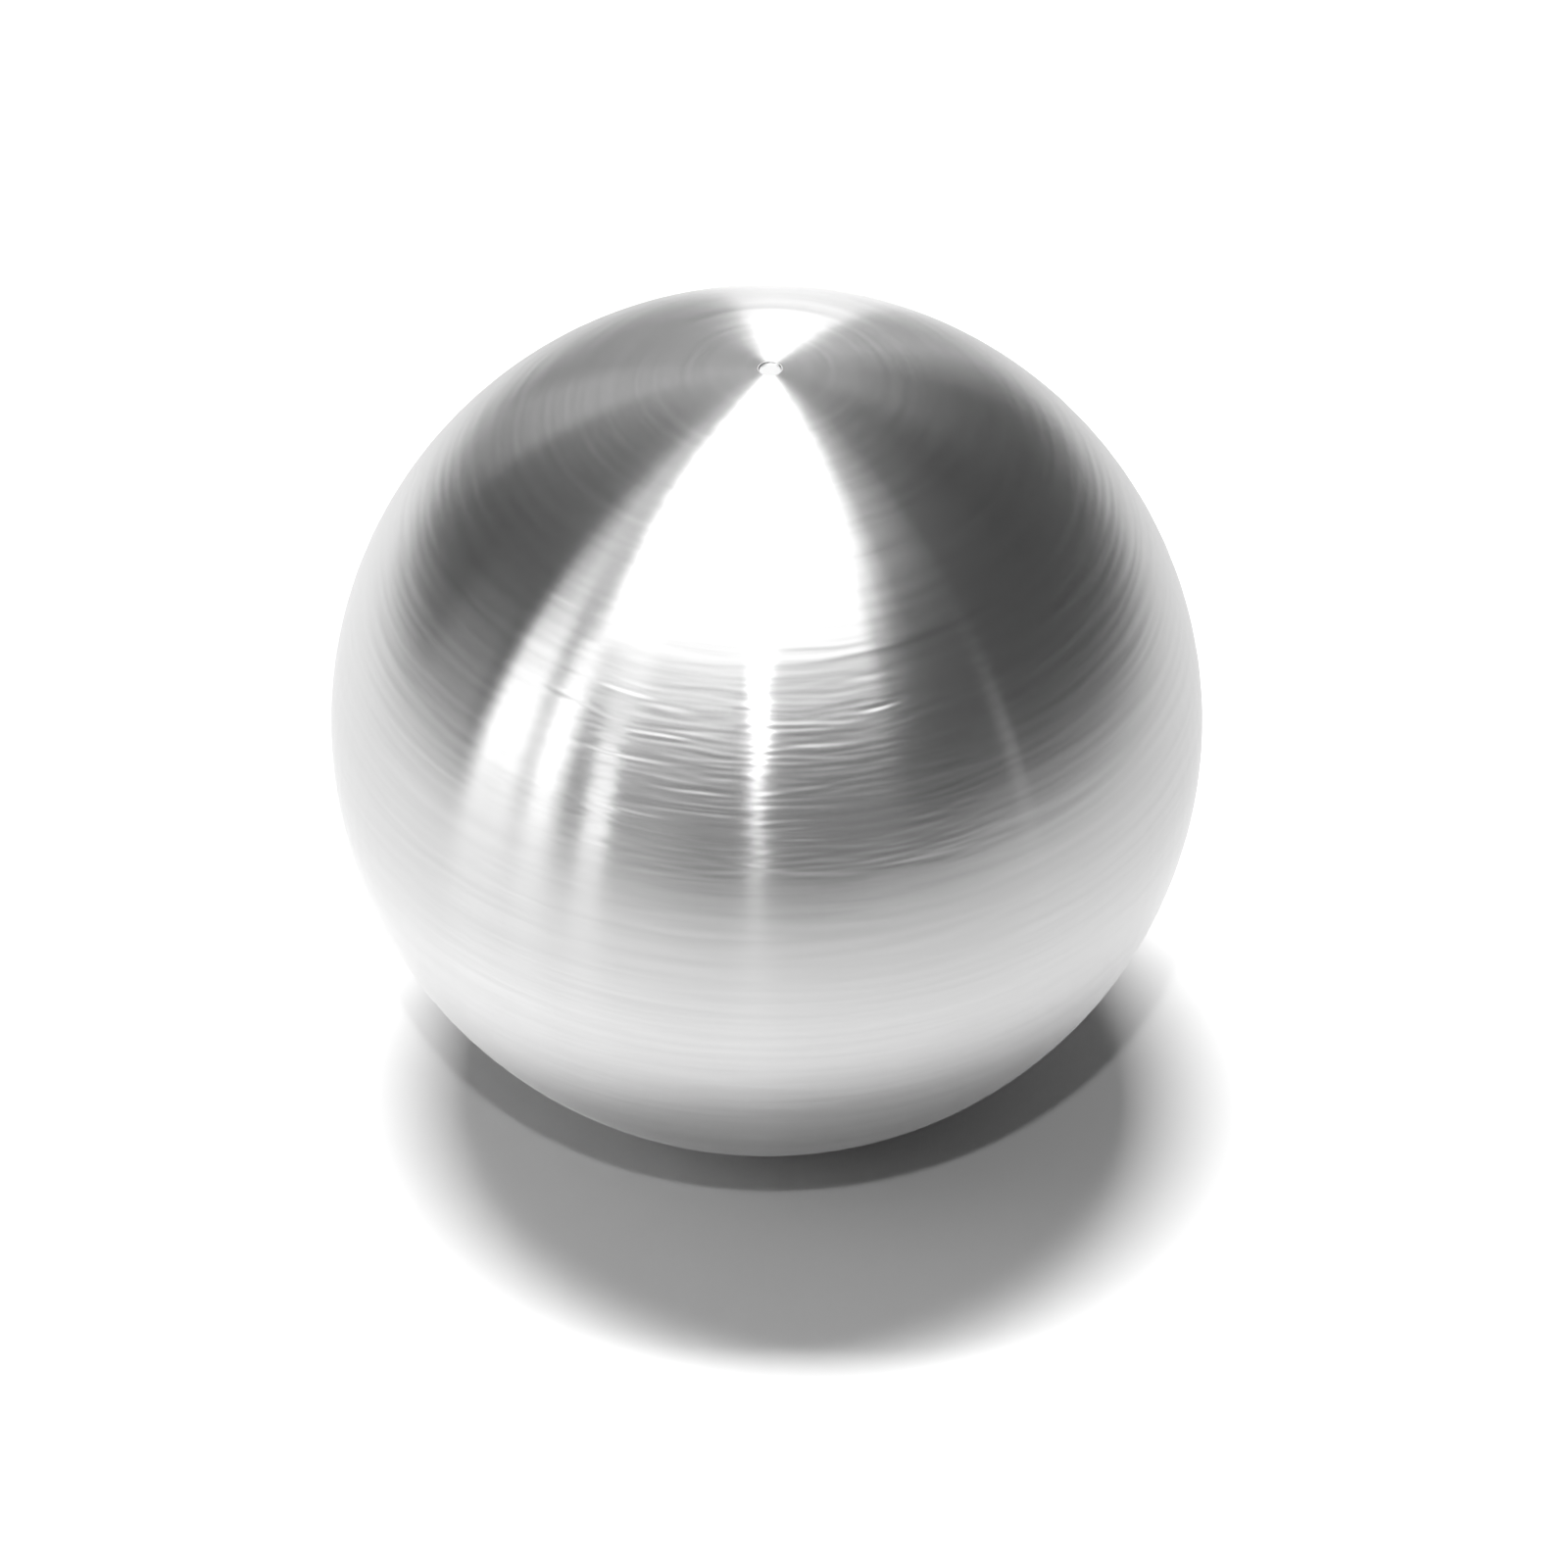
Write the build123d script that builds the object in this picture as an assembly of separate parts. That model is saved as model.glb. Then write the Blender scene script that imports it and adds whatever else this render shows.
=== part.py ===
from build123d import *

import math
import os

# Turned steel ball: one solid of revolution about +Z, in millimetres.
# The origin is the ball's centre. +Z is the turning axis, out through the centre mark on the top pole.

# Driving dimensions
BALL_DIAMETER = 25.0
MARK_DIAMETER = 0.65  # shallow recess that the turning leaves where its circles close on the axis
MARK_WALL_RUN = 0.03  # how far in the recess's steep wall reaches from its rim
MARK_DEPTH = 0.06  # from the mark's rim down to its flat floor

BALL_RADIUS = BALL_DIAMETER / 2
MARK_RADIUS = MARK_DIAMETER / 2
MARK_FLOOR_RADIUS = MARK_RADIUS - MARK_WALL_RUN
MARK_RIM_HEIGHT = math.sqrt(BALL_RADIUS**2 - MARK_RADIUS**2)  # where the wall meets the sphere
MARK_FLOOR_HEIGHT = MARK_RIM_HEIGHT - MARK_DEPTH


def ball_profile():
    """Half section of the ball on the XZ plane, from the bottom pole round to the middle of the mark's floor."""
    bottom_pole = (0, -BALL_RADIUS)
    equator = (BALL_RADIUS, 0)
    mark_rim = (MARK_RADIUS, MARK_RIM_HEIGHT)
    floor_edge = (MARK_FLOOR_RADIUS, MARK_FLOOR_HEIGHT)
    floor_middle = (0, MARK_FLOOR_HEIGHT)
    with BuildSketch(Plane.XZ) as section:
        with BuildLine():
            ThreePointArc(bottom_pole, equator, mark_rim)
            Polyline(mark_rim, floor_edge, floor_middle, bottom_pole)
        make_face()
    return section.sketch


def steel_ball():
    """The whole ball: its half section turned once round the axis."""
    return revolve(ball_profile(), axis=Axis.Z)


NODES = {"steel_ball": steel_ball}

os.makedirs("parts", exist_ok=True)
for node, make_piece in NODES.items():
    piece = make_piece()
    piece.label = node
    export_step(piece, f"parts/{node}.step")
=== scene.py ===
import math

import bpy
from bpy.props import FloatProperty, FloatVectorProperty, PointerProperty
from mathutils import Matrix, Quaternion, Vector, noise


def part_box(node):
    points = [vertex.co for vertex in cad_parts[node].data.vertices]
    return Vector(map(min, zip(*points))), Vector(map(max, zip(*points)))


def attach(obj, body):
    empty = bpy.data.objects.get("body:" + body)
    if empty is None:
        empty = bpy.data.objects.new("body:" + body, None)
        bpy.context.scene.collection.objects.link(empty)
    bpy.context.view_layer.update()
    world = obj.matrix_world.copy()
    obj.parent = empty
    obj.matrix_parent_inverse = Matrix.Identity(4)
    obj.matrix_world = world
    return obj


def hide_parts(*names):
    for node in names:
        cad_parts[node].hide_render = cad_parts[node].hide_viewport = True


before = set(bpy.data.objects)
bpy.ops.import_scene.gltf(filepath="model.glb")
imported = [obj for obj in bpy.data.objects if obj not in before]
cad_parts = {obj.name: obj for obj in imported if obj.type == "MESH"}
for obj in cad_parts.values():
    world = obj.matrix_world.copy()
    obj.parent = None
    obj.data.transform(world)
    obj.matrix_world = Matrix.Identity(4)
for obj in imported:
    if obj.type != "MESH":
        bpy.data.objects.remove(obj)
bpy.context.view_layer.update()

bl_info = {
    "name": "Turned Steel Ball",
    "version": (1, 0, 0),
    "blender": (4, 5, 0),
    "location": "3D View > Sidebar > Steel Ball",
    "description": "A lathe-turned steel ball on a white studio floor",
    "category": "Object",
}

# Sizes that follow the solid: its centre is the origin and its turning axis is +Z
BALL_NODE = "steel_ball"
BALL_LOW, BALL_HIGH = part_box(BALL_NODE)
BALL_RADIUS = -BALL_LOW.z
MARK_RADIUS = math.sqrt(BALL_RADIUS**2 - BALL_HIGH.z**2)

MM = 0.001
MICRON = 0.000001

# Turning lines that stand out, by the tilt that they give the surface. Each has its polar angle,
# middle azimuth, half span and tilt in degrees. Azimuth 0 is the front, -Y, and grows towards +X.
# A positive tilt faces up.
TURNING_LINES = (
    (43.5, 12, 9, -4.0),
    (44.4, 13, 11, 3.0),
    (48.1, 17, 4, 3.0),
    (51.2, -23, 4.5, 9.0),
    (51.9, -16, 4, 7.0),
    (52.2, 19, 3, 10.0),
    (53.1, 8, 6, 3.0),
    (54.3, -32, 5, 8.0),
    (54.2, -13, 6, -4.0),
    (54.1, 10, 6.5, -6.0),
    (54.6, 9.5, 5.5, -5.0),
    (55.6, -18, 5.5, 9.0),
    (55.6, 9.5, 5.5, 6.0),
    (56.5, 9, 6, -5.0),
    (57.0, -10, 6, -6.0),
    (57.5, -24.5, 2.5, 8.0),
    (59.2, -21, 7, 12.0),
    (62.1, -11, 8, 8.0),
    (64.2, -12, 10, -6.0),
    (65.8, -18, 4, 10.0),
    (66.5, 4.5, 2.5, 8.0),
    (68.0, 4, 4, -5.0),
    (69.7, -9, 6, 6.0),
)
# Half width of a line, how far it wavers from its circle, both in degrees, and the half widths from
# its middle beyond which it is left out
LINE_HALF_WIDTH = 0.42
LINE_WAVER = 0.4
LINE_CUT = 3.0
# Step where the tool was set again: polar angle at the front, lean towards the right, length and tilt.
# Then its reach from the front, and the way over which the surface comes back. All are in degrees
TOOL_STEP = (45.25, -2.0, 4.5, -2.5)
STEP_REACH = 48.0
STEP_RECOVERY = 12.0
# Where the tool chattered: its band of polar angles, how it fades in and out there, and its reach
# from the front, in degrees
CHATTER_BAND = (45.0, 75.0)
CHATTER_FADES = (10.0, 3.0)
CHATTER_REACH = 30.0
# How quickly each pattern of the skin changes round the axis and from pole to pole
WAVER_SCALES = (5.0, 0.35)
GROOVE_SCALES = (3.0, 1.0)
CHATTER_SCALES = (9.0, 2.0)
# The grooves run out nearer to the axis than this share of the radius
GROOVE_FADE = 0.5
# Where the faces are finer: a band of polar angles, and azimuths on both sides of the front, in degrees
LINE_BAND = (42.4, 74.0)
FRONT_REACH = 40.0
# Darker line in the steel's colour behind the top: polar angle and half width in degrees, where it fades
# in towards the back on a ball of radius 1, and how much darker it is
DARK_LINE_POLAR = 17.5
DARK_LINE_HALF_WIDTH = 1.3
DARK_LINE_ENDS = (0.22, 0.28)
DARK_LINE_STRENGTH = 0.45
# Finest lines of the steel: how quickly they change round the axis and from pole to pole, their noise,
# their depth, how far they swing the roughness, and how far from dark to light steel they reach
FINE_SCALES = (2.0, 60.0)
FINE_NOISE = {"Scale": 1.0, "Detail": 3.0, "Roughness": 0.6}
FINE_DEPTH = 1.5 * MICRON
FINE_ROUGHNESS = 0.03
FINE_SHADES = (0.333, 1.0)
# Dark and light steel, as shares of its colour
STEEL_SHARES = (0.76, 1.12)
# Share of a whole turn that lays the stretch of reflections along the meridians
STRETCH_TURN = 0.25
# How far the centre mark's steel reaches, as a share of the mark's radius: a little past the rim, where
# its lighter colour is a painted highlight that lightens dark shading beside the rim
MARK_HIGHLIGHT_REACH = 1.08
# Rings of the centre mark, as shares of its floor's radius and of its wall's run
MARK_FLOOR_SHARES = (0.35, 0.7, 0.95, 1.0)
MARK_WALL_SHARES = (0.15, 0.5, 0.85)
# Polar angle from the mark's rim to the next ring
RIM_STEP = math.radians(0.03)

WHITE = (1.0, 1.0, 1.0, 1.0)
# White sheet under the ball: how far it reaches to the left, right, front and back, in ball radii, and
# how far the table lies below it
SHEET_REACH = (11.5, 11.5, 7.0, 13.9)
TABLE_DROP = 0.1 * MM
# Light of the sheet in the steel: its plain share, then painted light that it gains towards the left and
# back, and painted light that it gains close to the ball
SHEET_SHARES = (0.7, 0.55, 0.33)
# Direction, to the right and back, in which the first gain falls, and where each gain starts and is full,
# in ball radii
SHEET_DIMMING = (0.85, -0.52)
SHEET_LEFT_SPAN = (8.5, -6.0)
SHEET_NEAR_SPAN = (2.4, 1.45)

# Overhead panel: its height in metres, then how far it stands to the right and back, and half its sides,
# as shares of the height
OVERHEAD_HEIGHT = 3.0
OVERHEAD_LEAN = (-0.098, 0.16)
OVERHEAD_SPREAD = (0.285, 0.118)
# Left panel and front lamp: distance in metres, azimuth and elevation in degrees, and size in metres
LEFT_DISTANCE = 3.0
LEFT_PLACE = (-70.0, 28.0)
LEFT_SIZE = (1.6, 1.6)
FRONT_DISTANCE = 3.0
FRONT_PLACE = (-2.8, 51.6)
FRONT_RADIUS = 0.042

# Cards round the stage that only the steel mirrors. Each is placed by the part of the ball that
# mirrors it to the camera: azimuths with the fade at each end, polar angles with the fade at each
# end (degrees), brightness.
CARDS = (
    ("fan_card", (-33.5, 21), (2.5, 3), (0, 47.6), (0, 2.6), 2.3),
    ("fan_left_card", (-35.4, -28), (1.6, 3), (10, 36), (5, 8), 1.5),
    ("fan_right_card", (17, 24.5), (3, 2.5), (0, 41.5), (0, 5), 1.9),
    ("fan_edge_card", (21.2, 27.5), (2, 2), (0, 39), (0, 8), 1.35),
    ("fan_shoulder_card", (22, 38), (2, 6), (0, 10), (0, 5), 1.8),
    ("right_haze_card", (26, 41.5), (0, 15.5), (6, 40), (12, 14), 0.73),
    ("right_far_haze_card", (28, 60), (2, 20), (8, 40), (5, 12), 0.1),
    ("fan_foot_card", (-30, 18), (2, 11), (45.4, 58.4), (2, 6), 0.32),
    ("fan_foot_middle_card", (-24, -4), (3, 2), (45.4, 60.4), (3, 6), 0.58),
    ("fan_foot_left_card", (-35, -19), (1, 3), (44.4, 57.4), (3, 4), 0.58),
    ("left_haze_card", (-45, -33.8), (4, 2), (10, 46.4), (8, 6), 0.8),
    ("far_left_haze_card", (-75, -42), (28, 3), (0, 39.4), (0, 12), 0.18),
    ("window", (-46.2, -29.3), (1.5, 1), (49.4, 80), (5, 0), 1.4),
    ("window_wide_pane", (-45.5, -37.2), (1.5, 1), (38.4, 80), (9, 0), 1.05),
    ("window_edge_pane", (-47.3, -42.5), (0.8, 1.5), (57.4, 80), (5, 0), 1.1),
    ("window_line_pane", (-35.2, -31), (0.8, 0.8), (43.4, 80), (12, 0), 1.25),
    ("window_slit", (-26.7, -21.9), (1, 1), (58.6, 80), (5, 0), 2.7),
    ("front_strip", (-2.3, 0), (0.5, 0.5), (45.4, 80), (3, 0), 1.15),
    ("left_low_card", (-65, -47), (6, 3), (50.4, 80), (6, 0), 0.36),
    ("left_shoulder_card", (-172, -56), (8, 30), (5, 38), (11, 14), 0.41),
    ("left_wedge_card", (-108, -79), (8, 5), (14, 43), (10, 9), 0.24),
    ("left_high_card", (-100, -64), (12, 12), (0, 18), (0, 10), 0.14),
    ("back_card", (145, 197), (4, 6), (0, 38), (0, 8), 1.8),
    ("back_pole_card", (136, 206), (6, 8), (0, 10), (0, 5), 0.65),
    ("right_shoulder_card", (99, 147), (23, 2), (4, 37), (12, 12), 0.55),
    ("right_rim_card", (114, 147), (8, 2), (22, 50), (8, 8), 0.4),
    ("right_high_card", (66, 114), (12, 14), (2, 26), (6, 14), 0.17),
    ("top_card", (0, 360), (0, 0), (0, 16), (0, 10), 0.48),
    ("right_slit", (37, 40.5), (1, 1), (53.4, 69.4), (4, 4), 0.25),
    ("front_left_card", (-30, -8), (2, 8), (59.4, 80), (4, 0), 0.28),
)
# Distance of the first card and the gap to each next one, in metres, and the widest face in degrees
CARD_DISTANCE = 4.0
CARD_GAP = 0.05
CARD_STEP = 3.0

# Where the camera aims, to the right of and above the ball's centre in ball radii, and what it clips
CAMERA_AIM = (0.0396, -0.1461)
CAMERA_CLIP = (0.01, 20.0)


class BallSettings(bpy.types.PropertyGroup):
    """Sizes and finish of the turned ball."""

    radius: FloatProperty(
        name="Radius", description="Radius of the ball",
        default=BALL_RADIUS, min=0.001, subtype="DISTANCE", unit="LENGTH", precision=5,
    )
    mark_radius: FloatProperty(
        name="Mark Radius", description="Radius of the centre mark on the top pole",
        default=MARK_RADIUS, min=0.00001, subtype="DISTANCE", unit="LENGTH", precision=6,
    )
    mark_depth: FloatProperty(
        name="Mark Depth", description="Depth of the centre mark below its rim",
        default=0.05 * MM, min=0.0, subtype="DISTANCE", unit="LENGTH", precision=6,
    )
    mark_wall: FloatProperty(
        name="Mark Wall", description="Run of the centre mark's steep wall",
        default=0.01 * MM, min=0.0, subtype="DISTANCE", unit="LENGTH", precision=6,
    )
    skin_drop: FloatProperty(
        name="Skin Drop", description="How far the turned skin lies inside the true radius",
        default=10 * MICRON, min=0.0, subtype="DISTANCE", unit="LENGTH", precision=6,
    )
    segment_step: FloatProperty(
        name="Segment Step", description="Azimuth from one meridian of faces to the next",
        default=math.radians(3.6), min=0.01, subtype="ANGLE", unit="ROTATION",
    )
    front_segment_step: FloatProperty(
        name="Front Segment Step", description="The same at the front, where single lines stand out",
        default=math.radians(1.2), min=0.005, subtype="ANGLE", unit="ROTATION",
    )
    ring_step: FloatProperty(
        name="Ring Step", description="Polar angle from one ring of faces to the next",
        default=math.radians(0.45), min=0.001, subtype="ANGLE", unit="ROTATION",
    )
    line_ring_step: FloatProperty(
        name="Line Ring Step", description="The same where the turning lines stand out",
        default=math.radians(0.1), min=0.0005, subtype="ANGLE", unit="ROTATION",
    )
    groove_pitch: FloatProperty(
        name="Groove Pitch", description="Usual distance from one groove to the next",
        default=0.28 * MM, min=0.00005, subtype="DISTANCE", unit="LENGTH", precision=6,
    )
    groove_tilt: FloatProperty(
        name="Groove Tilt", description="How far the sides of the fine grooves tilt",
        default=math.radians(0.9), min=0.0, subtype="ANGLE", unit="ROTATION",
    )
    chatter_tilt: FloatProperty(
        name="Chatter Tilt", description="How much further they tilt where the tool chattered",
        default=math.radians(3.2), min=0.0, subtype="ANGLE", unit="ROTATION",
    )
    steel_colour: FloatVectorProperty(
        name="Steel Colour", description="Colour of the turned steel",
        default=(0.6, 0.6, 0.6), size=3, min=0.0, max=1.0, subtype="COLOR",
    )
    roughness: FloatProperty(
        name="Roughness", description="Mean roughness of the turned steel",
        default=0.24, min=0.0, max=1.0, subtype="FACTOR",
    )
    # The centre mark's colour is lighter than the steel: a painted highlight
    mark_highlight_colour: FloatVectorProperty(
        name="Mark Colour", description="Colour of the bright steel in the centre mark",
        default=(0.8, 0.8, 0.8), size=3, min=0.0, max=1.0, subtype="COLOR",
    )
    mark_roughness: FloatProperty(
        name="Mark Roughness", description="Roughness of the bright steel in the centre mark",
        default=0.35, min=0.0, max=1.0, subtype="FACTOR",
    )
    anisotropy: FloatProperty(
        name="Stretch", description="How far the grooves stretch reflections along the meridians",
        default=1.0, min=0.0, max=1.0, subtype="FACTOR",
    )


class StageSettings(bpy.types.PropertyGroup):
    """Floor, lamps, surround and camera round the ball."""

    table_half: FloatProperty(
        name="Table Half Width", description="Half the side of the square table under the sheet",
        default=6.0, min=0.1, subtype="DISTANCE", unit="LENGTH",
    )
    floor_seen: FloatProperty(
        name="Sheet Seen", description="How white the lit sheet is to the camera",
        default=1.73, min=0.0, max=4.0,
    )
    floor_mirrored: FloatProperty(
        name="Sheet Mirrored", description="How white the lit sheet is in the steel",
        default=1.13, min=0.0, max=4.0,
    )
    floor_glow: FloatProperty(
        name="Sheet Glow", description="How much of its light the sheet throws back",
        default=0.1, min=0.0, max=1.0,
    )
    surround: FloatProperty(
        name="Surround", description="Brightness of the dim room round the stage",
        default=0.075, min=0.0, max=1.0,
    )
    overhead_level: FloatProperty(
        name="Overhead Level", description="Light of the overhead panel on a white floor",
        default=1.0, min=0.0,
    )
    left_level: FloatProperty(
        name="Left Level", description="Light of the soft left panel on a white card facing it",
        default=0.075, min=0.0,
    )
    front_level: FloatProperty(
        name="Front Level", description="Light of the small front lamp on a white card facing it",
        default=0.083, min=0.0,
    )
    camera_elevation: FloatProperty(
        name="Camera Elevation", description="Height of the camera above the horizon",
        default=math.radians(38.0), subtype="ANGLE", unit="ROTATION",
    )
    camera_distance: FloatProperty(
        name="Camera Distance", description="Distance from the camera to the ball's centre",
        default=0.375, min=0.05, subtype="DISTANCE", unit="LENGTH",
    )
    camera_roll: FloatProperty(
        name="Camera Roll", description="Turn of the camera about its own line of sight",
        default=math.radians(0.6), subtype="ANGLE", unit="ROTATION",
    )
    lens: FloatProperty(
        name="Lens", description="Focal length in millimetres",
        default=300.4, min=20.0, unit="CAMERA",
    )


class Graph:
    """A node tree that is filled from Python."""

    def __init__(self, tree):
        tree.nodes.clear()
        self.tree = tree

    def node(self, kind, settings=None, sockets=None):
        """Adds a node of this type, sets its settings, then fills its sockets with values or links."""
        made = self.tree.nodes.new(kind)
        for name, value in (settings or {}).items():
            setattr(made, name, value)
        for name, value in (sockets or {}).items():
            self.fill(made.inputs[name], value)
        return made

    def fill(self, socket, value):
        """Links a wrapped socket, or sets a plain value."""
        if isinstance(value, Wire):
            self.tree.links.new(value.socket, socket)
        else:
            socket.default_value = value

    def wire(self, node, outlet=0):
        """Wraps one output of a node for arithmetic."""
        return Wire(self, node.outputs[outlet])

    def surface(self, shader, kind="ShaderNodeOutputMaterial"):
        """Joins a shader to an output node of this type."""
        self.node(kind, None, {"Surface": self.wire(shader)})


class Wire:
    """One output socket, where arithmetic adds Math nodes."""

    def __init__(self, graph, socket):
        self.graph = graph
        self.socket = socket

    def maths(self, operation, *values):
        """Adds a Math node with these values, in this order."""
        made = self.graph.node("ShaderNodeMath", {"operation": operation}, dict(enumerate(values)))
        return self.graph.wire(made)

    def __add__(self, other):
        return self.maths("ADD", self, other)

    def __radd__(self, other):
        return self.maths("ADD", other, self)

    def __sub__(self, other):
        return self.maths("SUBTRACT", self, other)

    def __rsub__(self, other):
        return self.maths("SUBTRACT", other, self)

    def __mul__(self, other):
        return self.maths("MULTIPLY", self, other)

    def __rmul__(self, other):
        return self.maths("MULTIPLY", other, self)

    def __truediv__(self, other):
        return self.maths("DIVIDE", self, other)

    def __rtruediv__(self, other):
        return self.maths("DIVIDE", other, self)

    def __lt__(self, other):
        return self.maths("LESS_THAN", self, other)

    def __gt__(self, other):
        return self.maths("GREATER_THAN", self, other)


def ramp(wire, start, end):
    """Rises from 0 to 1 as the wire's value goes from start to end."""
    made = wire.graph.node(
        "ShaderNodeMapRange", {"clamp": True},
        {"Value": wire, "From Min": start, "From Max": end, "To Min": 0.0, "To Max": 1.0},
    )
    return wire.graph.wire(made)


def mixed_colour(graph, factor, first, second):
    """Colour that goes from the first to the second as the factor goes from 0 to 1."""
    sockets = {"Factor": factor, "A": first, "B": second}
    return graph.wire(graph.node("ShaderNodeMix", {"data_type": "RGBA"}, sockets), "Result")


def grey(level):
    """Grey of this level, as a colour with its alpha."""
    return (level, level, level, 1.0)


def new_material(name):
    """A new material, and the graph that fills its nodes."""
    material = bpy.data.materials.new(name)
    material.use_nodes = True
    return material, Graph(material.node_tree)


def ball_place(graph):
    """Place on the ball: its level parts on a ball of radius 1, and its polar angle."""
    place = graph.wire(graph.node("ShaderNodeTexCoord"), "Object")
    unit = graph.wire(graph.node("ShaderNodeVectorMath", {"operation": "NORMALIZE"}, {0: place}))
    parts = graph.node("ShaderNodeSeparateXYZ", None, {0: unit})
    east, north, height = (graph.wire(parts, name) for name in "XYZ")
    return east, north, height.maths("ARCCOSINE", height)


def latitude_coordinates(graph, round_scale, along_scale):
    """Noise coordinates that change slowly round the axis and quickly from pole to pole."""
    east, north, polar = ball_place(graph)
    places = {"X": east * round_scale, "Y": north * round_scale, "Z": polar * along_scale}
    return graph.wire(graph.node("ShaderNodeCombineXYZ", None, places))


def dark_line_behind_top(graph):
    """1 in the middle of the dark line behind the top, falling to 0 on both sides and at its ends."""
    _, north, polar = ball_place(graph)
    offset = (polar - math.radians(DARK_LINE_POLAR)) / math.radians(DARK_LINE_HALF_WIDTH)
    return ramp(north, *DARK_LINE_ENDS) * offset.maths("EXPONENT", -1.0 * offset * offset)


def mark_and_highlight_mask(graph, settings):
    """1 inside the centre mark on the top pole and a little past its rim, 0 elsewhere: there the steel
    has the mark's own even finish, in a lighter colour that is a painted highlight.
    """
    place = graph.wire(graph.node("ShaderNodeTexCoord"), "Object")
    parts = graph.node("ShaderNodeSeparateXYZ", None, {0: place})
    east, north, height = (graph.wire(parts, name) for name in "XYZ")
    from_axis = east * east + north * north
    inside = from_axis < (MARK_HIGHLIGHT_REACH * settings.mark_radius) ** 2
    return inside * (height > 0.0)


def turned_steel(settings):
    """Bare steel with the fine circular lines of turning, which stretch its reflections."""
    material, graph = new_material("turned_steel")
    coordinates = latitude_coordinates(graph, *FINE_SCALES)
    fine = graph.node("ShaderNodeTexNoise", None, {"Vector": coordinates, **FINE_NOISE})
    fine_lines = graph.wire(fine, "Fac")
    low, high = FINE_SHADES
    shade = low + fine_lines * (high - low) - dark_line_behind_top(graph) * DARK_LINE_STRENGTH
    dark, light = ((*(share * Vector(settings.steel_colour)), 1.0) for share in STEEL_SHARES)
    bump = graph.node(
        "ShaderNodeBump", None, {"Strength": 1.0, "Distance": FINE_DEPTH, "Height": fine_lines},
    )
    turned = graph.node(
        "ShaderNodeBsdfPrincipled",
        None,
        {
            "Base Color": mixed_colour(graph, shade, dark, light),
            "Metallic": 1.0,
            "Roughness": settings.roughness + (fine_lines - 0.5) * FINE_ROUGHNESS,
            "Anisotropic": settings.anisotropy,
            "Anisotropic Rotation": STRETCH_TURN,
            "Normal": graph.wire(bump),
        },
    )
    # The centre mark's own rougher finish, without stretch, in a lighter colour that is a painted
    # highlight
    bright = graph.node(
        "ShaderNodeBsdfPrincipled",
        None,
        {
            "Base Color": (*settings.mark_highlight_colour, 1.0),
            "Metallic": 1.0,
            "Roughness": settings.mark_roughness,
        },
    )
    both = graph.node(
        "ShaderNodeMixShader",
        None,
        {"Fac": mark_and_highlight_mask(graph, settings), 1: graph.wire(turned), 2: graph.wire(bright)},
    )
    graph.surface(both)
    return material


def swell(offset, half_width):
    """1 in the middle of a stretch, falling smoothly to 0 past its ends."""
    return math.exp(-((offset / half_width) ** 4))


def skin_noise(azimuth, along, scales):
    """Noise from -1 to 1 at an azimuth in degrees and a place from pole to pole."""
    turn = math.radians(azimuth)
    round_scale, along_scale = scales
    place = (math.sin(turn) * round_scale, math.cos(turn) * round_scale, along * along_scale)
    return noise.noise(Vector(place))


def groove_height(polar, lined, azimuth, settings):
    """Height of the fine grooves, which are steeper where the tool chattered."""
    along = math.radians(lined) * settings.radius / settings.groove_pitch
    grooves = math.tan(settings.groove_tilt) * min(1.0, math.sin(math.radians(polar)) / GROOVE_FADE)
    fade_in = (polar - CHATTER_BAND[0]) / CHATTER_FADES[0]
    fade_out = (CHATTER_BAND[1] - polar) / CHATTER_FADES[1]
    chatter = math.tan(settings.chatter_tilt) * max(0.0, min(fade_in, fade_out, 1.0))
    chatter *= swell(azimuth, CHATTER_REACH)
    chatter_pitch = settings.groove_pitch / CHATTER_SCALES[1]
    return (
        grooves * settings.groove_pitch * skin_noise(azimuth, along, GROOVE_SCALES)
        + chatter * chatter_pitch * skin_noise(azimuth, along, CHATTER_SCALES)
    )


def line_height(lined, azimuth, settings):
    """Height of the single turning lines, each a dip and a rise on the two sides of its middle."""
    width = settings.radius * math.radians(LINE_HALF_WIDTH)
    height = 0.0
    for polar, middle, half_span, tilt in TURNING_LINES:
        across = (lined - polar) / LINE_HALF_WIDTH
        if abs(across) < LINE_CUT:
            shape = across * math.exp(-across * across) * swell(azimuth - middle, half_span)
            height += math.tan(math.radians(tilt)) * width * shape
    return height


def step_height(lined, azimuth, settings):
    """Height of the step where the tool was set again: it falls along its length, then comes back."""
    polar, lean, length, tilt = TOOL_STEP
    beyond = (lined - polar - lean * math.sin(math.radians(azimuth))) / length
    if beyond <= 0.0:
        return 0.0
    if beyond < 1.0:
        fall = beyond - beyond**2 / 2
    else:
        fall = math.exp((1.0 - beyond) * length / STEP_RECOVERY) / 2
    drop = math.tan(math.radians(tilt)) * settings.radius * math.radians(length)
    return drop * fall * swell(azimuth, STEP_REACH)


def surface_height(polar, azimuth, settings):
    """Height of the turned surface over its resting radius, at a polar angle and azimuth in degrees."""
    lined = polar + LINE_WAVER * skin_noise(azimuth, polar, WAVER_SCALES)
    return (
        groove_height(polar, lined, azimuth, settings)
        + line_height(lined, azimuth, settings)
        + step_height(lined, azimuth, settings)
    )


def ring_polars(settings):
    """Polar angles of the rings from the mark's rim to the bottom pole, closer where lines stand out."""
    polar = math.asin(settings.mark_radius / settings.radius)
    polars = [polar]
    polar += RIM_STEP
    while polar < math.pi - 0.5 * settings.ring_step:
        polars.append(polar)
        fine = LINE_BAND[0] <= math.degrees(polar) < LINE_BAND[1]
        polar += settings.line_ring_step if fine else settings.ring_step
    return polars


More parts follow.
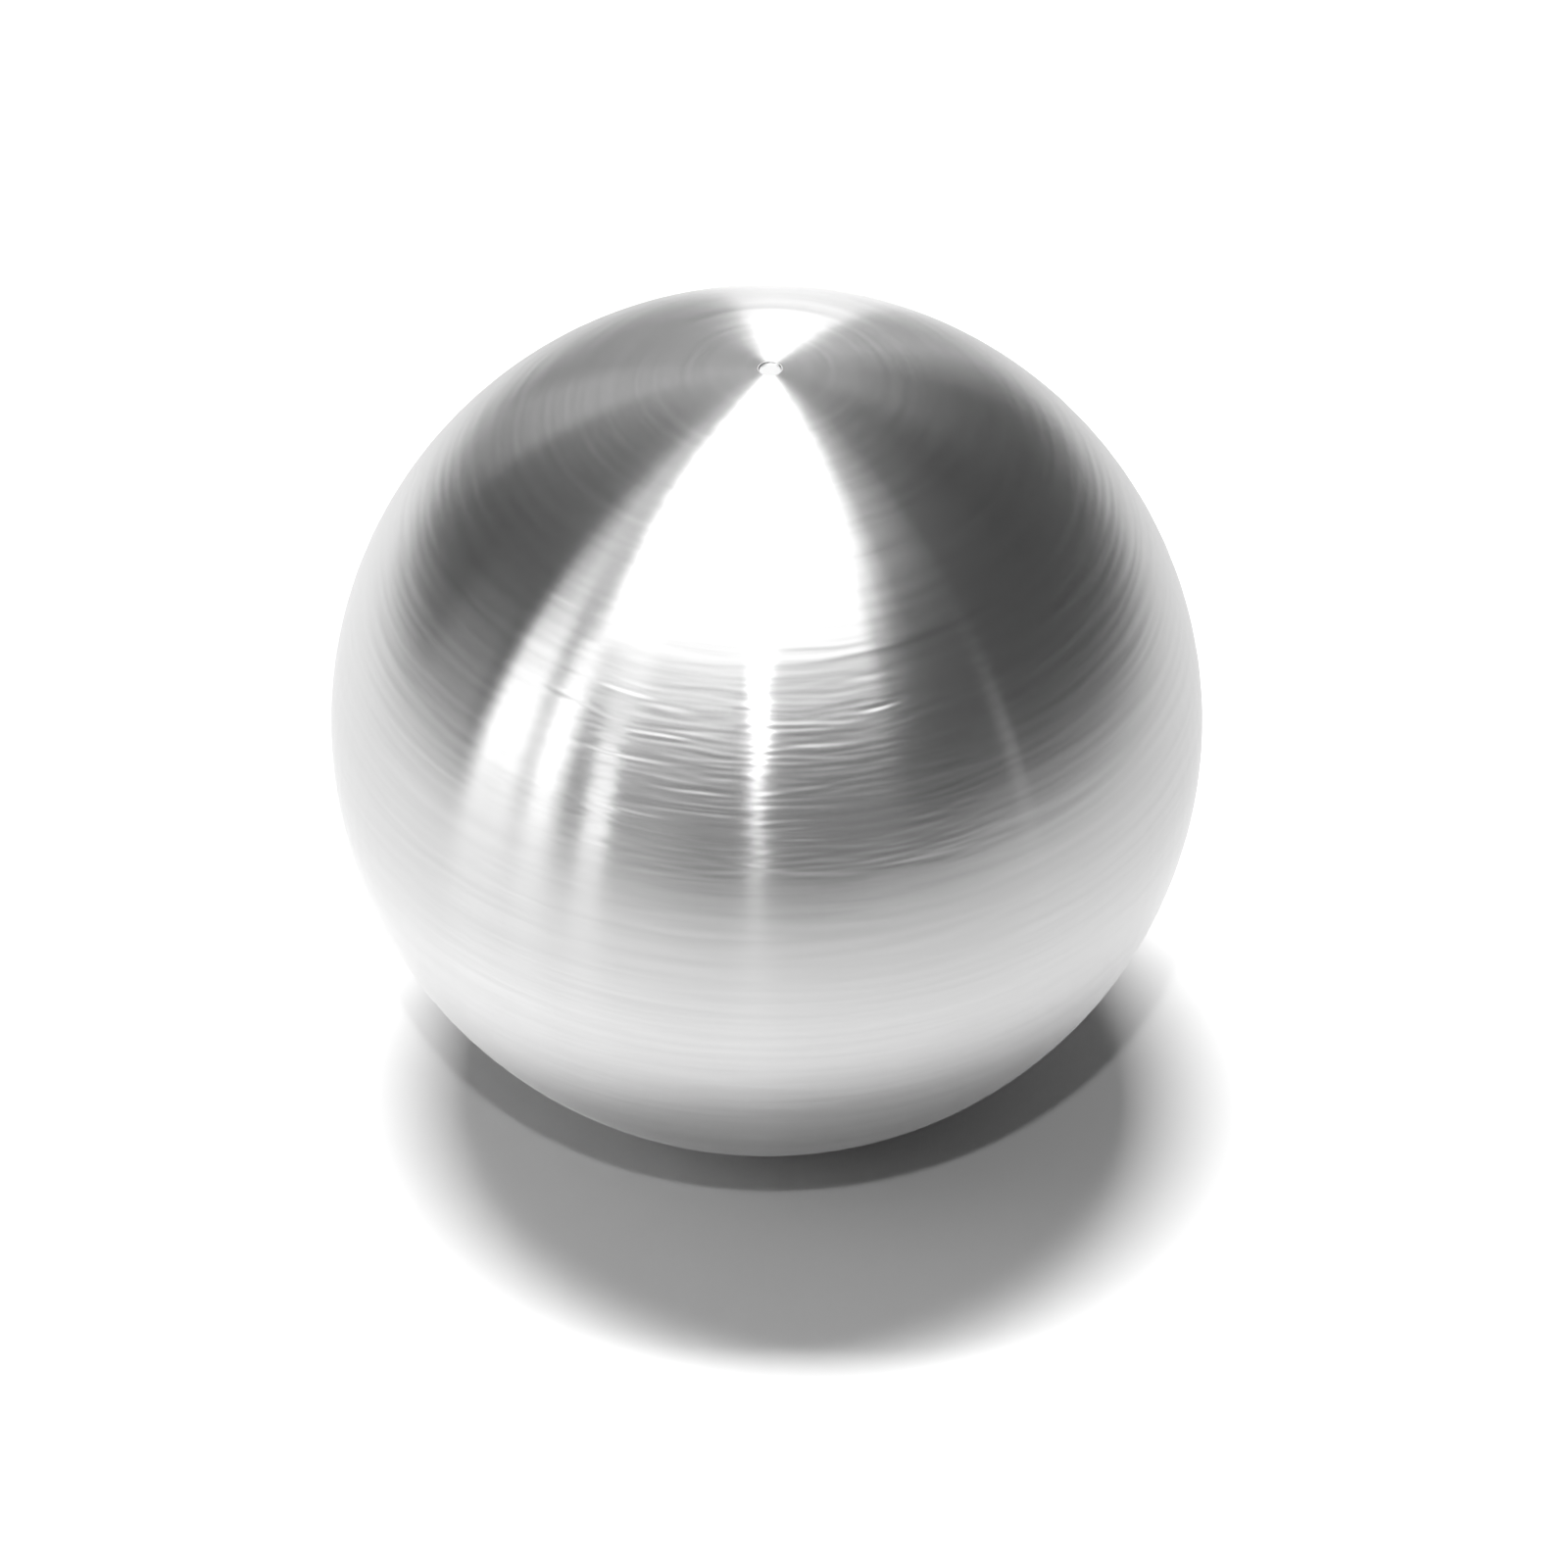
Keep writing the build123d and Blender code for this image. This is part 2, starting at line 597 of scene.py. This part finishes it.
def meridian_azimuths(settings):
    """Azimuths of the meridians in degrees, from -180 once round, closer at the front."""
    front = math.ceil(2 * FRONT_REACH / math.degrees(settings.front_segment_step))
    side = math.ceil((180.0 - FRONT_REACH) / math.degrees(settings.segment_step))
    left = [-180.0 + (180.0 - FRONT_REACH) * index / side for index in range(side)]
    middle = [-FRONT_REACH + 2 * FRONT_REACH * index / front for index in range(front)]
    right = [FRONT_REACH + (180.0 - FRONT_REACH) * index / side for index in range(side)]
    return left + middle + right


def meridian(polars, azimuth, settings):
    """Points (reach, height) down one meridian."""
    resting = settings.radius - settings.skin_drop
    points = []
    for polar in polars:
        radius = min(resting + surface_height(math.degrees(polar), azimuth, settings), settings.radius)
        points.append((radius * math.sin(polar), radius * math.cos(polar)))
    return points


def ball_rings(settings):
    """Rings of the turned skin from the mark's rim down: polar angle and one point per meridian."""
    polars = ring_polars(settings)
    columns = [meridian(polars, azimuth, settings) for azimuth in meridian_azimuths(settings)]
    return [(polar, [column[index] for column in columns]) for index, polar in enumerate(polars)]


def mark_floor(settings):
    """Height of the centre mark's floor."""
    rim_polar = math.asin(settings.mark_radius / settings.radius)
    return (settings.radius - settings.skin_drop) * math.cos(rim_polar) - settings.mark_depth


def mark_rings(settings):
    """Rings of the centre mark: its flat floor, then its wall up to just under the rim."""
    floor = mark_floor(settings)
    floor_radius = settings.mark_radius - settings.mark_wall
    places = [(floor_radius * share, floor) for share in MARK_FLOOR_SHARES]
    for share in MARK_WALL_SHARES:
        places.append((floor_radius + settings.mark_wall * share, floor + settings.mark_depth * share))
    count = len(meridian_azimuths(settings))
    return [(math.asin(reach / settings.radius), [(reach, height)] * count) for reach, height in places]


def lathe_mesh(name, settings):
    """The ball's whole skin: a fan on the mark's floor, rings of quads, and a fan at the bottom pole."""
    azimuths = meridian_azimuths(settings)
    count = len(azimuths)
    rings = mark_rings(settings) + ball_rings(settings)
    points = [(0.0, 0.0, mark_floor(settings))]
    for _, ring in rings:
        for azimuth, (reach, height) in zip(azimuths, ring):
            turn = math.radians(azimuth)
            points.append((reach * math.sin(turn), -reach * math.cos(turn), height))
    points.append((0.0, 0.0, -settings.radius))
    last = len(points) - 1

    faces = []
    corners = []
    heights = [1.0] + [1.0 - polar / math.pi for polar, _ in rings] + [0.0]
    turns = [(azimuth + 180.0) / 360.0 for azimuth in azimuths] + [1.0]

    def corner(segment, ring):
        return (turns[segment], heights[ring])

    def tip(segment, height):
        return (0.5 * (turns[segment] + turns[segment + 1]), height)

    for segment in range(count):
        after = (segment + 1) % count
        faces.append((0, 1 + segment, 1 + after))
        corners += [tip(segment, 1.0), corner(segment, 1), corner(segment + 1, 1)]
    for ring in range(len(rings) - 1):
        upper = 1 + ring * count
        lower = upper + count
        for segment in range(count):
            after = (segment + 1) % count
            faces.append((upper + segment, lower + segment, lower + after, upper + after))
            corners += [corner(segment, ring + 1), corner(segment, ring + 2),
                        corner(segment + 1, ring + 2), corner(segment + 1, ring + 1)]
    bottom = 1 + (len(rings) - 1) * count
    for segment in range(count):
        after = (segment + 1) % count
        faces.append((bottom + segment, last, bottom + after))
        corners += [corner(segment, len(rings)), tip(segment, 0.0), corner(segment + 1, len(rings))]

    mesh = bpy.data.meshes.new(name)
    mesh.from_pydata(points, [], faces)
    layer = mesh.uv_layers.new(name="OFBake")
    layer.uv.foreach_set("vector", [value for pair in corners for value in pair])
    mesh.shade_smooth()
    mesh.validate()
    return mesh


class STEELBALL_OT_turn(bpy.types.Operator):
    """Make the turned ball and let it stand for the solid"""

    bl_idname = "steel_ball.turn"
    bl_label = "Turn Ball"

    def execute(self, context):
        settings = context.scene.steel_ball
        mesh = lathe_mesh("turned_ball", settings)
        mesh.materials.append(turned_steel(settings))
        ball = bpy.data.objects.new("turned_ball", mesh)
        context.scene.collection.objects.link(ball)
        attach(ball, "root")
        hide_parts(BALL_NODE)
        return {"FINISHED"}


def direction(azimuth, elevation):
    """Unit vector from the ball's centre towards an azimuth and elevation in degrees."""
    turn, rise = math.radians(azimuth), math.radians(elevation)
    return Vector((math.sin(turn) * math.cos(rise), -math.cos(turn) * math.cos(rise), math.sin(rise)))


def floor_material(settings):
    """White sheet: it is seen whiter than it is mirrored, and its glow hardly reaches its own shadow. In
    the steel it has painted light towards the left and back and close to the ball.
    """
    material, graph = new_material("white_sheet")
    path = graph.node("ShaderNodeLightPath")
    seen_ray = graph.wire(path, "Is Camera Ray")
    not_scattered = graph.wire(path, "Diffuse Depth") < 0.5
    mirrored_ray = graph.wire(path, "Is Glossy Ray") * not_scattered
    place = graph.wire(graph.node("ShaderNodeTexCoord"), "Object")
    length = graph.node("ShaderNodeVectorMath", {"operation": "LENGTH"}, {0: place})
    # Painted light of the sheet in the steel: lighter close to the ball and towards the left and back
    painted_near_light = ramp(graph.wire(length, "Value") / BALL_RADIUS, *SHEET_NEAR_SPAN)
    parts = graph.node("ShaderNodeSeparateXYZ", None, {0: place})
    across = SHEET_DIMMING[0] * graph.wire(parts, "X") + SHEET_DIMMING[1] * graph.wire(parts, "Y")
    painted_left_light = ramp(across / BALL_RADIUS, *SHEET_LEFT_SPAN)
    plain_share, left_share, near_share = SHEET_SHARES
    mirrored_level = settings.floor_mirrored * (
        plain_share + left_share * painted_left_light + near_share * painted_near_light
    )
    level = (
        settings.floor_glow
        + seen_ray * (settings.floor_seen - settings.floor_glow)
        + mirrored_ray * (mirrored_level - settings.floor_glow)
    )
    colour = graph.node("ShaderNodeCombineColor", None, {"Red": level, "Green": level, "Blue": level})
    graph.surface(graph.node("ShaderNodeBsdfDiffuse", None, {"Color": graph.wire(colour)}))
    return material


def table_material():
    """Table beyond the sheet: plain white where the camera sees it, dark in mirrored light."""
    material, graph = new_material("table")
    seen_ray = graph.wire(graph.node("ShaderNodeLightPath"), "Is Camera Ray")
    graph.surface(graph.node("ShaderNodeEmission", None, {"Color": WHITE, "Strength": seen_ray}))
    return material


def add_slab(context, name, west, east, south, north, level, material):
    """Flat rectangle of the stage."""
    mesh = bpy.data.meshes.new(name)
    corners = [(west, south, level), (east, south, level), (east, north, level), (west, north, level)]
    mesh.from_pydata(corners, [], [(0, 1, 2, 3)])
    mesh.materials.append(material)
    slab = bpy.data.objects.new(name, mesh)
    context.scene.collection.objects.link(slab)


def add_floor(context, settings):
    """White sheet under the ball on a wide table."""
    left, right, front, back = (reach * BALL_RADIUS for reach in SHEET_REACH)
    half, level = settings.table_half, -BALL_RADIUS
    add_slab(context, "sheet", -left, right, -front, back, level, floor_material(settings))
    add_slab(context, "table", -half, half, -half, half, level - TABLE_DROP, table_material())


def add_world(context, settings):
    """Dim even surround, and plain white where the camera looks past the floor."""
    world = bpy.data.worlds.new("surround")
    world.use_nodes = True
    graph = Graph(world.node_tree)
    seen_ray = graph.wire(graph.node("ShaderNodeLightPath"), "Is Camera Ray")
    colour = mixed_colour(graph, seen_ray, grey(settings.surround), WHITE)
    shader = graph.node("ShaderNodeBackground", None, {"Color": colour, "Strength": 1.0})
    graph.surface(shader, "ShaderNodeOutputWorld")
    context.scene.world = world


def panel_lamp(name, sides, level, distance):
    """Flat panel that lights a white card to this level, facing it at this distance."""
    lamp = bpy.data.lights.new(name, "AREA")
    lamp.shape = "RECTANGLE"
    lamp.size, lamp.size_y = sides
    lamp.energy = level * math.pi**2 * distance**2
    return lamp


def round_lamp(name, radius, level, distance):
    """Small round lamp that lights a white card to this level, facing it at this distance."""
    lamp = bpy.data.lights.new(name, "POINT")
    lamp.shadow_soft_size = radius
    lamp.energy = level * math.pi * 4 * math.pi * distance**2
    return lamp


def hang_lamp(context, lamp, place):
    """Hangs a lamp at a place, where the camera doesn't see it."""
    hung = bpy.data.objects.new(lamp.name, lamp)
    hung.location = place
    hung.visible_camera = False
    context.scene.collection.objects.link(hung)
    return hung


def add_lamps(context, settings):
    """Overhead panel for the soft shadow, soft left panel, and front lamp for the crisp shadow."""
    sides = [2 * spread * OVERHEAD_HEIGHT for spread in OVERHEAD_SPREAD]
    lamp = panel_lamp("overhead_panel", sides, settings.overhead_level, OVERHEAD_HEIGHT)
    overhead = hang_lamp(context, lamp, Vector((*OVERHEAD_LEAN, 1.0)) * OVERHEAD_HEIGHT)
    overhead.visible_glossy = False

    lamp = panel_lamp("left_panel", LEFT_SIZE, settings.left_level, LEFT_DISTANCE)
    left = hang_lamp(context, lamp, direction(*LEFT_PLACE) * LEFT_DISTANCE)
    left.rotation_euler = (-left.location).to_track_quat("-Z", "Y").to_euler()
    left.visible_glossy = False

    lamp = round_lamp("front_lamp", FRONT_RADIUS, settings.front_level, FRONT_DISTANCE)
    hang_lamp(context, lamp, direction(*FRONT_PLACE) * FRONT_DISTANCE)


def card_stops(ends, fades):
    """Places across a card and how bright it is there, from end to end."""
    low, high = ends
    stops = {low, high, low + fades[0], high - fades[1]}
    count = math.ceil((high - low) / CARD_STEP)
    stops.update(low + (high - low) * index / count for index in range(count))
    places = []
    for stop in sorted(stops):
        rise = (stop - low) / fades[0] if fades[0] else 1.0
        fall = (high - stop) / fades[1] if fades[1] else 1.0
        places.append((stop, max(0.0, min(rise, fall, 1.0))))
    return places


def mirrored(azimuth, polar, view):
    """Direction that the ball mirrors to the camera at this azimuth and polar angle."""
    normal = direction(azimuth, 90.0 - polar)
    return 2 * view.dot(normal) * normal - view


def card_material():
    """Clear glowing card, faded at its edges by the colours of its corners."""
    material, graph = new_material("card")
    material.cycles.emission_sampling = "NONE"
    glow = graph.node("ShaderNodeVertexColor", {"layer_name": "glow"})
    shine = graph.node("ShaderNodeEmission", None, {"Color": graph.wire(glow), "Strength": 1.0})
    clear = graph.node("ShaderNodeBsdfTransparent")
    graph.surface(graph.node("ShaderNodeAddShader", None, {0: graph.wire(shine), 1: graph.wire(clear)}))
    return material


def card_mesh(name, across, down, brightness, distance, view):
    """Grid of a card's points, with its glow as their colours."""
    points = [mirrored(azimuth, polar, view) * distance for polar, _ in down for azimuth, _ in across]
    glow = [grey(brightness * share * part) for _, part in down for _, share in across]
    row = len(across)
    starts = [line * row + step for line in range(len(down) - 1) for step in range(row - 1)]
    faces = [(start, start + 1, start + row + 1, start + row) for start in starts]
    mesh = bpy.data.meshes.new(name)
    mesh.from_pydata(points, [], faces)
    layer = mesh.color_attributes.new("glow", "FLOAT_COLOR", "POINT")
    layer.data.foreach_set("color", [value for colour in glow for value in colour])
    return mesh


def add_cards(context, settings):
    """The glowing cards that the steel mirrors."""
    view = direction(0.0, math.degrees(settings.camera_elevation))
    material = card_material()
    for order, (name, azimuths, azimuth_fades, polars, polar_fades, brightness) in enumerate(CARDS):
        distance = CARD_DISTANCE + order * CARD_GAP
        across = card_stops(azimuths, azimuth_fades)
        down = card_stops(polars, polar_fades)
        mesh = card_mesh(name, across, down, brightness, distance, view)
        mesh.materials.append(material)
        card = bpy.data.objects.new(name, mesh)
        card.visible_camera = card.visible_diffuse = card.visible_shadow = False
        card.visible_transmission = card.visible_volume_scatter = False
        context.scene.collection.objects.link(card)


def add_camera(context, settings):
    """Long-lens camera at the front that looks down on the ball, a little off the picture's middle."""
    data = bpy.data.cameras.new("camera")
    data.lens = settings.lens
    data.clip_start, data.clip_end = CAMERA_CLIP
    back = direction(0.0, math.degrees(settings.camera_elevation))
    turn = (-back).to_track_quat("-Z", "Y") @ Quaternion((0.0, 0.0, 1.0), settings.camera_roll)
    aim = turn @ Vector((*CAMERA_AIM, 0.0)) * BALL_RADIUS
    camera = bpy.data.objects.new("camera", data)
    camera.location = aim + back * settings.camera_distance
    camera.rotation_euler = turn.to_euler()
    context.scene.collection.objects.link(camera)
    context.scene.camera = camera


class STEELBALL_OT_stage(bpy.types.Operator):
    """Set up the floor, surround, lamps, mirrored cards and camera"""

    bl_idname = "steel_ball.stage"
    bl_label = "Set Stage"

    def execute(self, context):
        settings = context.scene.steel_ball_stage
        add_floor(context, settings)
        add_world(context, settings)
        add_lamps(context, settings)
        add_cards(context, settings)
        add_camera(context, settings)
        context.scene.view_settings.view_transform = "Standard"
        return {"FINISHED"}


class STEELBALL_PT_panel(bpy.types.Panel):
    """Sidebar panel with the ball's and the stage's settings"""

    bl_idname = "STEELBALL_PT_panel"
    bl_label = "Steel Ball"
    bl_space_type = "VIEW_3D"
    bl_region_type = "UI"
    bl_category = "Steel Ball"

    def draw(self, context):
        for settings, operator in (
            (context.scene.steel_ball, STEELBALL_OT_turn),
            (context.scene.steel_ball_stage, STEELBALL_OT_stage),
        ):
            box = self.layout.box()
            for name in settings.__annotations__:
                box.prop(settings, name)
            box.operator(operator.bl_idname)


CLASSES = (BallSettings, StageSettings, STEELBALL_OT_turn, STEELBALL_OT_stage, STEELBALL_PT_panel)


def register():
    for each in CLASSES:
        bpy.utils.register_class(each)
    bpy.types.Scene.steel_ball = PointerProperty(type=BallSettings)
    bpy.types.Scene.steel_ball_stage = PointerProperty(type=StageSettings)


def unregister():
    del bpy.types.Scene.steel_ball_stage
    del bpy.types.Scene.steel_ball
    for each in reversed(CLASSES):
        bpy.utils.unregister_class(each)


def main():
    register()
    bpy.ops.steel_ball.turn()
    bpy.ops.steel_ball.stage()


if __name__ == "__main__":
    main()
